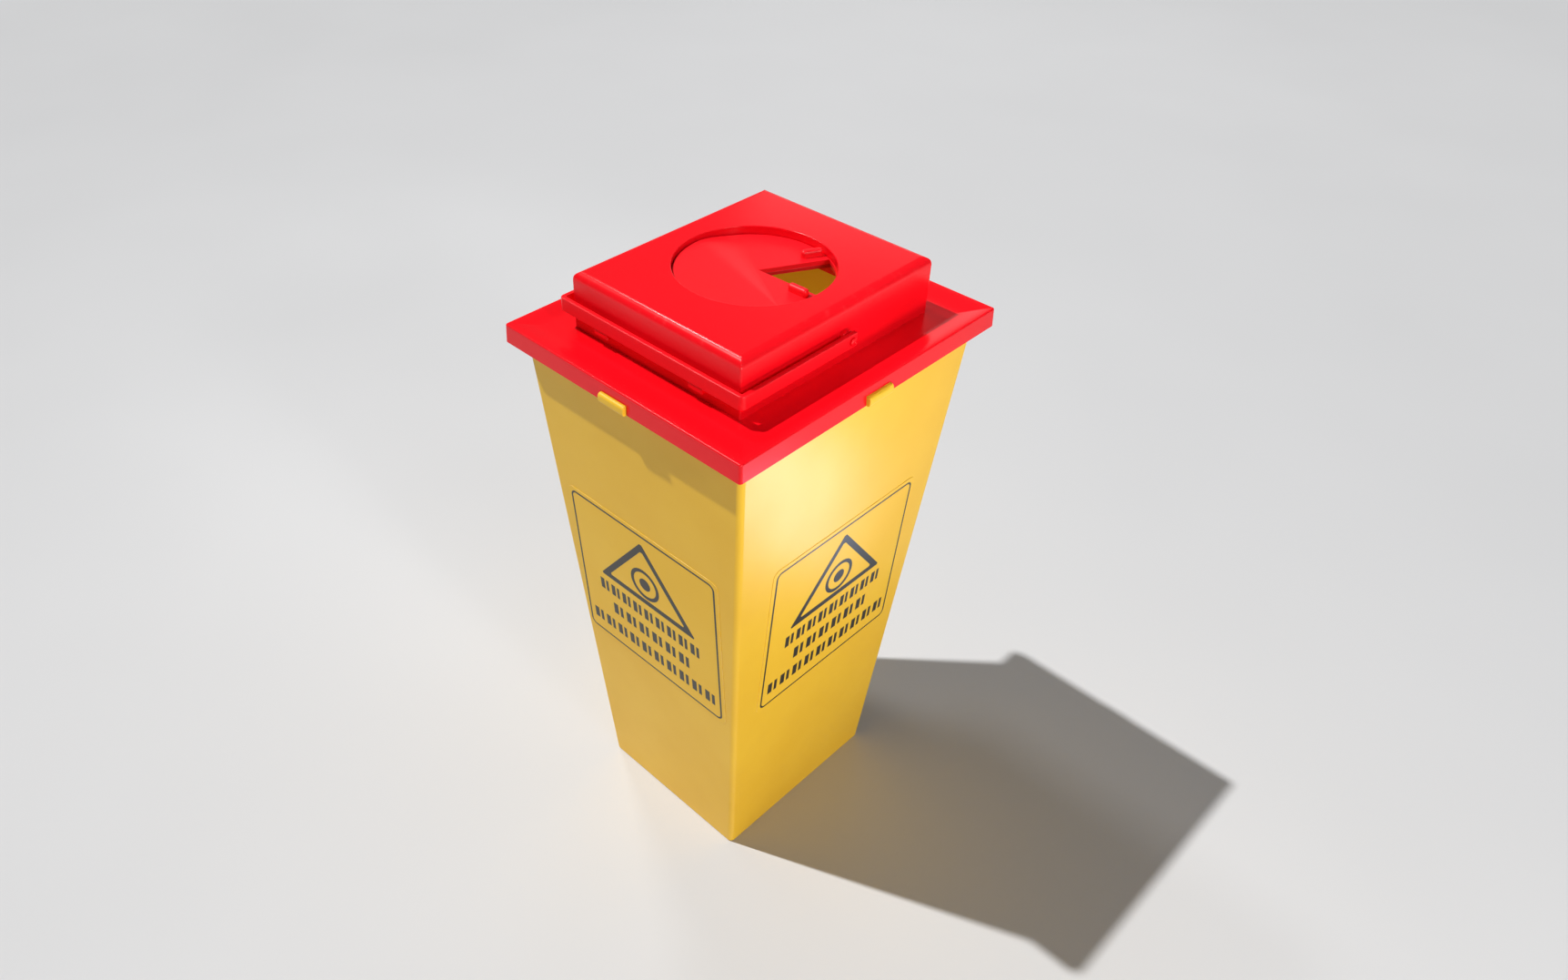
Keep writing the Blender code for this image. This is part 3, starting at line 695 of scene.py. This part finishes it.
def soften(piece, height, width, within):
    """Round the edges that lie at a height inside a radius of the axis, on the piece as it stands."""
    bm = bmesh.new()
    bm.from_mesh(piece.data)
    edges = [
        e for e in bm.edges
        if all(abs(v.co.z / MM - height) < 1e-2 and v.co.xy.length / MM < within for v in e.verts)
        and e.calc_face_angle(0) > SHARP_BEND
    ]
    bevel(bm, edges, width * MM, 3)
    bm.to_mesh(piece.data)
    bm.free()


plate_low = plate_box[0].z
plate = piece_from(
    loft([(PLATE_HALF, PLATE_HALF, PLATE_CORNER, plate_low),
          *quarter_round((PLATE_HALF, PLATE_HALF), PLATE_CORNER, PLATE_TOP, 0.4, 3)], 10),
    "aperture_plate_moulding",
)
guide_top = plate_box[1].z
ring_round = arc((GUIDE_OUTER - 0.4, guide_top - 0.4), 0.4, 0, 90, 4)
combine(plate, "UNION", turned(
    [(0, PLATE_TOP - 1), (GUIDE_OUTER, PLATE_TOP - 1), *ring_round, (0, guide_top)], ROUND_STEPS))
combine(plate, "DIFFERENCE", rod(GUIDE_INNER, PLATE_TOP, guide_top + 2, ROUND_STEPS))
combine(plate, "DIFFERENCE", wedge(OPENING_ROOM, plate_low - 3, PLATE_TOP + 3))
first, last = PEG_ANGLE - TURN, PEG_ANGLE
ends = arc((0, 0), PEG_ORBIT, first, last, 1)
slot_outline = [
    *arc((0, 0), PEG_ORBIT + SLOT_HALF, first, last, 40),
    *arc(ends[1], SLOT_HALF, last, last + 180, 10)[1:-1],
    *arc((0, 0), PEG_ORBIT - SLOT_HALF, last, first, 40),
    *arc(ends[0], SLOT_HALF, first + 180, first + 360, 10)[1:-1],
]
combine(plate, "DIFFERENCE", prism(slot_outline, plate_low - 3, PLATE_TOP + 3))
for at in POSTS:
    hole = rod(POST_RADIUS + 0.3, plate_low - 3, PLATE_TOP + 3, 32)
    bmesh.ops.translate(hole, vec=(*at, 0), verts=hole.verts)
    combine(plate, "DIFFERENCE", hole)
soften(plate, PLATE_TOP, 0.25, GUIDE_INNER - 1)
settle(plate, "lid", "inner_red_plastic", inner_plastic_painted_shade, "aperture_plate")


# ---------------------------------------------------------------------------------------------------------
# Shutter. The red disc in the recess, trapped under the recess's wall and free to turn. One moulding with
# the wedge-shaped gap, two finger tabs beside it, and the stop peg below. Its top stands a little proud of
# the disc's rim, and rises on one side in a fan-shaped slope to a higher segment.

SHUTTER_TOP = 383.1
DISC_THICK = 2.0
TOP_RISE = 0.7
SEGMENT_RISE = 2.7
SEGMENT_RADIUS = 43.3
SLOPE_MEETS = Vector((42.0, -22.5, 0.0))
SLOPE_FOOT = 148.4
SLOPE_CREST = 165.6
SLOPE_STEPS = 10
TAB_SIZE = Vector((12.4, 4.2, 4.8))
TAB_EDGE = 1.75
REAR_TAB_ALONG = 32.6
REAR_TAB_OFF = 6.5
FRONT_TAB_AT = Vector((31.6, -0.4))

shutter_box = box_mm("shutter")
disc_radius = shutter_box[1].x
disc_low = SHUTTER_TOP - DISC_THICK
shutter_plastic = moulded_plastic(
    "red_polypropylene_shutter",
    colour=(0.90, 0.005, 0.014, 1.0),
    deep=(0.84, 0.004, 0.010, 1.0),
    rubbed=(0.93, 0.12, 0.13, 1.0),
    roughness=0.42,
    scuffs=0.9,
)


def raised_top():
    """The disc's raised top: flat by the gap, rising in a fan-shaped slope to the segment's crest."""
    level = SHUTTER_TOP + TOP_RISE
    edge = arc((SEGMENT_RADIUS - 0.4, level - 0.4), 0.4, 0, 90, 4)
    bm = turned([(0, SHUTTER_TOP - 1), (SEGMENT_RADIUS, SHUTTER_TOP - 1), *edge, (0, level)], ROUND_STEPS)
    bmesh.ops.dissolve_faces(bm, faces=[f for f in bm.faces if f.calc_center_median().z > level - 1e-3])
    for step in range(SLOPE_STEPS + 1):
        angle = math.radians(SLOPE_FOOT + (SLOPE_CREST - SLOPE_FOOT) * step / SLOPE_STEPS)
        across = Vector((-math.sin(angle), math.cos(angle), 0))
        bmesh.ops.bisect_plane(
            bm, geom=bm.verts[:] + bm.edges[:] + bm.faces[:], plane_co=SLOPE_MEETS, plane_no=across)
    for vert in bm.verts:
        if vert.co.z > SHUTTER_TOP + 0.05:
            way = vert.co - SLOPE_MEETS
            turn = math.degrees(math.atan2(way.y, way.x)) % 360
            share = min(max((turn - SLOPE_FOOT) / (SLOPE_CREST - SLOPE_FOOT), 0), 1)
            vert.co.z += (SEGMENT_RISE - TOP_RISE) * eased(share)
    return bm


def finger_tab(centre, angle):
    """A tab with well rounded edges, standing on the disc at a place and an angle in plan."""
    base = SHUTTER_TOP - 0.6
    half = TAB_SIZE / 2
    bm = block((-half.x, -half.y, base), (half.x, half.y, SHUTTER_TOP + TAB_SIZE.z))
    bevel(bm, [e for e in bm.edges if max(v.co.z for v in e.verts) > base + 1], TAB_EDGE, 6)
    bmesh.ops.rotate(bm, matrix=Matrix.Rotation(math.radians(angle), 3, "Z"), verts=bm.verts)
    bmesh.ops.translate(bm, vec=(centre.x, centre.y, 0), verts=bm.verts)
    return bm


disc = piece_from(rod(disc_radius, disc_low, SHUTTER_TOP, ROUND_STEPS), "shutter_disc")
combine(disc, "UNION", raised_top())
combine(disc, "DIFFERENCE", wedge(0.0, SHUTTER_TOP - 8, SHUTTER_TOP + 8))
soften(disc, SHUTTER_TOP + TOP_RISE, 0.35, SEGMENT_RADIUS - 1)
rear_angle = math.radians(OPENING_ANGLES[1])
along = Vector((math.cos(rear_angle), math.sin(rear_angle)))
rear_tab_at = OPENING_APEX + along * REAR_TAB_ALONG + Vector((-along.y, along.x)) * REAR_TAB_OFF
combine(disc, "UNION", finger_tab(rear_tab_at, OPENING_ANGLES[1]))
combine(disc, "UNION", finger_tab(FRONT_TAB_AT, OPENING_ANGLES[0]))
peg_bottom = shutter_box[0].z
peg_round = arc((PEG_RADIUS - 0.5, peg_bottom + 0.5), 0.5, -90, 0, 4)
peg = turned([(0, peg_bottom), *peg_round, (PEG_RADIUS, disc_low + 1), (0, disc_low + 1)], 32)
bmesh.ops.translate(peg, vec=(*ends[1], 0), verts=peg.verts)
combine(disc, "UNION", peg)
settle(disc, "shutter", "red_plastic", shutter_plastic, "shutter")


# ---------------------------------------------------------------------------------------------------------
# Bail. The flat red strap that the container is carried by, three sides of a rectangle, with eased edges
# and a hole near the end of each arm. It turns on two push-in pins with domed heads.

BAIL_THICK = 2.9
BAIL_CORNER = 3.0
BAIL_INNER_CORNER = 0.6
BAIL_EDGE = 0.6
PIN_RADIUS = 1.5
PIN_HEAD_RADIUS = 2.3
PIN_HEAD_ROOM = 0.3

bail_plastic = moulded_plastic(
    "red_polypropylene_bail",
    colour=(0.90, 0.005, 0.014, 1.0),
    deep=(0.84, 0.004, 0.010, 1.0),
    rubbed=(0.93, 0.13, 0.14, 1.0),
    roughness=0.30,
    rub=0.55,
    scuffs=0.8,
)
half_width = bail_box[1].x
front = bail_box[0].y
arm_end = bail_box[1].y
under, over = bail_box[0].z - 5, bail_box[1].z + 5
strap = block((-half_width, front, bail_box[0].z), (half_width, arm_end + 10, bail_box[1].z))
bevel(strap, [e for e in upright_edges(strap) if e.verts[0].co.y < 0], BAIL_CORNER, 8)
bail = piece_from(strap, "carry_bail")
inner_half = half_width - BAIL_THICK
inside = block((-inner_half, front + BAIL_THICK, under), (inner_half, arm_end + 20, over))
bevel(inside, [e for e in upright_edges(inside) if e.verts[0].co.y < 0], BAIL_INNER_CORNER, 4)
combine(bail, "DIFFERENCE", inside)
combine(bail, "DIFFERENCE", block((-half_width - 5, arm_end, under), (half_width + 5, arm_end + 30, over)))
strap = bmesh.new()
strap.from_mesh(bail.data)
bmesh.ops.remove_doubles(strap, verts=strap.verts, dist=1e-6)
bevel(strap, sharp_edges(strap), BAIL_EDGE * MM, 4)
strap.to_mesh(bail.data)
strap.free()
for side in (1, -1):
    bore = rod(PIN_HOLE_RADIUS, inner_half - 3, half_width + 3, 32)
    combine(bail, "DIFFERENCE", stood_across(bore, side, (0, PIVOT.y, PIVOT.z)))
settle(bail, "bail", "red_plastic", bail_plastic, "bail")

for side, name in ((1, "right"), (-1, "left")):
    pin_box = box_mm(f"bail_pin_{name}")
    reach = max(abs(pin_box[0].x), abs(pin_box[1].x))
    tip = min(abs(pin_box[0].x), abs(pin_box[1].x))
    neck = half_width + PIN_HEAD_ROOM
    dome = arc((PIN_HEAD_RADIUS - 0.55, reach - 0.65), 0.55, 0, 80, 5)
    pin = turned(
        [(0, tip), (PIN_RADIUS - 0.6, tip), (PIN_RADIUS, tip + 0.6), (PIN_RADIUS, neck),
         (PIN_HEAD_RADIUS, neck), *dome, (0.9, reach), (0.6, reach - 0.25), (0, reach - 0.3)], 40)
    piece = piece_from(stood_across(pin, side, (0, PIVOT.y, PIVOT.z)), f"bail_pin_{name}_turned")
    settle(piece, "lid", "red_plastic", red_plastic, f"bail_pin_{name}")


# ---------------------------------------------------------------------------------------------------------
# Labels. A sticker on each wall, printed vinyl film in a yellow close to the bin's. The print is generic: an
# outline with round corners, a plain triangle with a ring and a dot in it, and three rows of upright bars in
# pairs. The ink is drawn as thin solids on the film.

LABEL_CORNER = 5.0
FILM_THICK = 0.3
FILM_EDGE = 0.12
PRINT_RISE = 0.05
LAID_DOWN = 0.27
OUTLINE_HALF = Vector((59.4, 58.4))
OUTLINE_CORNER = 4.5
OUTLINE_WIDTH = 1.3
TRIANGLE_TOP = 52.0
TRIANGLE_BASE = 0.5
TRIANGLE_HALF = 41.0
TRIANGLE_BORDER = 4.0
TRIANGLE_CUT = 1.6
DOT_RADIUS = 4.6
RING_RADIUS = 12.0
RING_WIDTH = 2.6
BAR_ROWS = ((-9.5, 44.5, 9), (-26.0, 35.0, 6), (-43.5, 55.5, 10))  # height, half length, pairs of bars
BAR_HEIGHT = 9.0
BAR_PAIR = ((-0.36, -0.02), (0.14, 0.36))  # from and to, in shares of a pair's pitch

wall_lean = [math.atan2(t - b, SKIRT_LEVEL) for b, t in zip(BASE_HALF, SKIRT_LEVEL_HALF)]


def film_material():
    """Vinyl film: satin, with the slight ripple of a hand-laid sticker."""
    material = bpy.data.materials.new("label_vinyl")
    material.use_nodes = True
    tree = material.node_tree
    shader = tree.nodes["Principled BSDF"]
    shader.inputs["IOR"].default_value = 1.46
    shader.inputs["Specular IOR Level"].default_value = 0.25
    skin = placed_group(tree, moulded_skin, Grain=900.0, Peel=55.0)
    drift = remap(tree, skin.outputs["Tone"], 0.35, 0.7)
    body = mixed(tree, drift, (0.90, 0.545, 0.036, 1.0), (0.87, 0.51, 0.03, 1.0))
    rub_mask = placed_group(tree, edge_rub, Cover=0.6).outputs["Mask"]
    tree.links.new(mixed(tree, arithmetic(tree, "MULTIPLY", rub_mask, 0.5), body, (0.93, 0.8, 0.45, 1.0)),
                   shader.inputs["Base Color"])
    tree.links.new(remap(tree, skin.outputs["Tone"], 0.3, 0.75, 0.33, 0.41), shader.inputs["Roughness"])
    bump = tree.nodes.new("ShaderNodeBump")
    bump.inputs["Strength"].default_value = 0.05
    bump.inputs["Distance"].default_value = 0.5 * MM
    tree.links.new(skin.outputs["Height"], bump.inputs["Height"])
    tree.links.new(bump.outputs["Normal"], shader.inputs["Normal"])
    return material


def ink_material():
    """Screen-printed black: dark grey where the ink is thin, and a little rougher than the film."""
    material = bpy.data.materials.new("label_ink")
    material.use_nodes = True
    tree = material.node_tree
    shader = tree.nodes["Principled BSDF"]
    thin = remap(tree, noise(tree, object_coordinates(tree), 700.0, 3.0, 0.6), 0.55, 0.75)
    tree.links.new(mixed(tree, thin, (0.018, 0.017, 0.016, 1.0), (0.06, 0.05, 0.03, 1.0)),
                   shader.inputs["Base Color"])
    tree.links.new(remap(tree, thin, 0.0, 1.0, 0.38, 0.52), shader.inputs["Roughness"])
    return material


def rounded_outline(half, radius, steps=8):
    """Points round a rectangle with round corners, anticlockwise."""
    points = []
    for number, (x, y) in enumerate(((1, 1), (-1, 1), (-1, -1), (1, -1))):
        centre = (x * (half.x - radius), y * (half.y - radius))
        points += arc(centre, radius, 90 * number, 90 * number + 90, steps)
    return points


def ring(outer, inner, rise):
    """A flat band between two outlines with equal counts of points, raised."""
    bm = bmesh.new()
    loops = []
    for outline in (outer, inner):
        verts = [bm.verts.new((x, y, 0.0)) for x, y in outline]
        loops.append([bm.edges.new((verts[i - 1], verts[i])) for i in range(len(verts))])
    faces = bmesh.ops.bridge_loops(bm, edges=loops[0] + loops[1])["faces"]
    grown = bmesh.ops.extrude_face_region(bm, geom=faces)["geom"]
    raised = [item for item in grown if isinstance(item, bmesh.types.BMVert)]
    bmesh.ops.translate(bm, vec=(0, 0, rise), verts=raised)
    bmesh.ops.recalc_face_normals(bm, faces=bm.faces)
    return bm


def triangle_outline(border):
    """The triangle moved in by a border, with its corners cut short, and the middle of its corners."""
    corners = [Vector((0, TRIANGLE_TOP)), Vector((-TRIANGLE_HALF, TRIANGLE_BASE)),
               Vector((TRIANGLE_HALF, TRIANGLE_BASE))]
    middle = sum(corners, Vector((0, 0))) / 3
    slope = math.atan2(TRIANGLE_TOP - TRIANGLE_BASE, TRIANGLE_HALF)
    inradius = TRIANGLE_HALF * math.tan(slope / 2)
    centre = Vector((0, TRIANGLE_BASE + inradius))
    share = 1 - border / inradius
    points = []
    for number, corner in enumerate(corners):
        point = centre + (corner - centre) * share
        for other in (corners[number - 1], corners[(number + 1) % 3]):
            toward = centre + (other - centre) * share
            points.append(point + (toward - point).normalized() * TRIANGLE_CUT)
    return [tuple(point) for point in points], middle


def lay_on(target, source):
    """Add one mesh to another."""
    scrap = bpy.data.meshes.new("scrap")
    source.to_mesh(scrap)
    source.free()
    target.from_mesh(scrap)
    bpy.data.meshes.remove(scrap)


def label_print():
    """All the ink of one label, flat in X and Y, with its underside at zero."""
    whole = bmesh.new()
    inner_half = OUTLINE_HALF - Vector((OUTLINE_WIDTH, OUTLINE_WIDTH))
    lay_on(whole, ring(rounded_outline(OUTLINE_HALF, OUTLINE_CORNER),
                       rounded_outline(inner_half, OUTLINE_CORNER - OUTLINE_WIDTH), PRINT_RISE))
    outer, middle = triangle_outline(0.0)
    lay_on(whole, ring(outer, triangle_outline(TRIANGLE_BORDER)[0], PRINT_RISE))
    dot = rod(DOT_RADIUS, 0, PRINT_RISE, 48)
    circle = ring(arc((0, 0), RING_RADIUS, 0, 360, 64)[:-1],
                  arc((0, 0), RING_RADIUS - RING_WIDTH, 0, 360, 64)[:-1], PRINT_RISE)
    for shape in (dot, circle):
        bmesh.ops.translate(shape, vec=(middle.x, middle.y, 0), verts=shape.verts)
        lay_on(whole, shape)
    for height, half_length, count in BAR_ROWS:
        pitch = 2 * half_length / count
        for number in range(count):
            x = -half_length + pitch * (number + 0.5)
            for start, end in BAR_PAIR:
                lay_on(whole, block((x + pitch * start, height - BAR_HEIGHT / 2, 0),
                                    (x + pitch * end, height + BAR_HEIGHT / 2, PRINT_RISE)))
    return whole


film = film_material()
ink = ink_material()
for name, axis, turns, in (("front", 1, 0), ("right", 0, 1), ("back", 1, 2), ("left", 0, 3)):
    low, high = box_mm(f"label_{name}")
    centre = (low + high) / 2
    across = Matrix.Rotation(turns * math.pi / 2, 3, "Z")
    size = across.inverted() @ (high - low)
    width = abs(size.x)
    lean = wall_lean[axis]
    height = (high.z - low.z - FILM_THICK * math.sin(lean)) / math.cos(lean)
    stand_up = across @ Matrix.Rotation(math.pi / 2 + lean, 3, "X")

    sticker = loft(
        [(width / 2, height / 2, LABEL_CORNER, -FILM_THICK / 2),
         *quarter_round((width / 2, height / 2), LABEL_CORNER, FILM_THICK / 2, FILM_EDGE, 2)], 8)
    for vert in sticker.verts:
        vert.co = stand_up @ (vert.co - Vector((0, 0, LAID_DOWN))) + centre
    settle(piece_from(sticker, f"label_{name}_film"), "bin", "label", film, f"label_{name}")

    printed = label_print()
    for vert in printed.verts:
        vert.co = stand_up @ (vert.co + Vector((0, 0, FILM_THICK / 2 - LAID_DOWN))) + centre
    piece = piece_from(printed, f"label_{name}_print")
    piece.data.materials.append(ink)
    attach(piece, "bin")


# ---------------------------------------------------------------------------------------------------------
# Studio. A plain pale floor and an even grey surround. The key light comes from the upper left, a broad
# fill from the right lights the bin's other side, and small softboxes give the gloss on the turret, the lid
# and the bin. A lamp inside the bin stands for the light that comes through its thin wall.

CAMERA_AT = (0.37741, -0.41507, 0.68721)
CAMERA_TURN = (math.radians(51.095), 0.0, math.radians(45.454))
KEY_WAY = Vector((186.0, 121.0, -357.0)).normalized()

camera_data = bpy.data.cameras.new("camera")
camera_data.sensor_width = 36.0
camera_data.lens = 27.147
camera_data.shift_x = 0.0565
camera_data.clip_start = 0.01
camera = bpy.data.objects.new("camera", camera_data)
camera.location = CAMERA_AT
camera.rotation_euler = CAMERA_TURN
bpy.context.scene.collection.objects.link(camera)
bpy.context.scene.camera = camera
bpy.context.scene.view_settings.view_transform = "Standard"


def aimed(light, place, target):
    """A lamp's object at a place, turned to a target."""
    obj = bpy.data.objects.new(light.name, light)
    obj.location = place
    obj.rotation_euler = (Vector(target) - Vector(place)).to_track_quat("-Z", "Y").to_euler()
    bpy.context.scene.collection.objects.link(obj)
    return obj


def softbox(name, place, target, size, power, colour=(1.0, 1.0, 1.0), spread=180):
    """A rectangular lamp that the camera doesn't see, with its beam's spread in degrees."""
    light = bpy.data.lights.new(name, "AREA")
    light.shape = "RECTANGLE"
    light.size, light.size_y = size
    light.energy = power
    light.color = colour
    light.spread = math.radians(spread)
    obj = aimed(light, place, target)
    obj.visible_camera = False


middle = (cad_low + cad_high) / 2
key_light = bpy.data.lights.new("key", "SUN")
key_light.energy = 2.85
key_light.angle = math.radians(1.2)
aimed(key_light, middle - KEY_WAY * 2.4, middle)
softbox("fill", (1.3, -0.25, 0.17), (0, 0, 0.14), (0.7, 0.26), 1.2, (1.0, 0.97, 0.95), spread=60)
softbox("back", (-1.0, 1.6, 0.9), (0, 0, 0.36), (0.7, 0.7), 1.2)
softbox("streak", (-0.46, 0.03, 1.01), (0.03, -0.07, 0.387), (0.09, 0.09), 1.5)
softbox("lid_fill", (0.75, -0.15, 0.75), (0.06, 0, 0.365), (0.15, 0.15), 0.1, spread=28)
softbox(
    "kicker", (0.253, 0.161, 0.057), (0.082, -0.075, 0.31), (0.1, 0.1), 0.011, (0.6, 0.72, 1.0), spread=28)
glow = bpy.data.lights.new("wall_glow", "POINT")
glow.energy = 0.15
glow.color = (0.62, 1.0, 0.9)
glow.shadow_soft_size = 0.03
aimed(glow, (0.0, 0.0, 0.24), (0, 0, 0)).visible_camera = False

world = bpy.data.worlds.new("surround")
world.use_nodes = True
surround = world.node_tree.nodes["Background"]
surround.inputs["Color"].default_value = (0.94, 0.97, 1.0, 1.0)
seen = world.node_tree.nodes.new("ShaderNodeLightPath").outputs["Is Camera Ray"]
world.node_tree.links.new(remap(world.node_tree, seen, 0.0, 1.0, 0.12, 0.62), surround.inputs["Strength"])
bpy.context.scene.world = world

floor_mesh = bmesh.new()
bmesh.ops.create_grid(floor_mesh, x_segments=1, y_segments=1, size=6000)
floor = piece_from(floor_mesh, "floor")
floor_material = bpy.data.materials.new("floor_paper")
floor_material.use_nodes = True
floor_tree = floor_material.node_tree
floor_shader = floor_tree.nodes["Principled BSDF"]
paper = remap(floor_tree, noise(floor_tree, object_coordinates(floor_tree), 3.0, 2.0), 0.3, 0.7)
floor_tree.links.new(mixed(floor_tree, paper, (0.72, 0.72, 0.725, 1.0), (0.70, 0.70, 0.705, 1.0)),
                     floor_shader.inputs["Base Color"])
floor_shader.inputs["Roughness"].default_value = 0.9
floor.data.materials.append(floor_material)
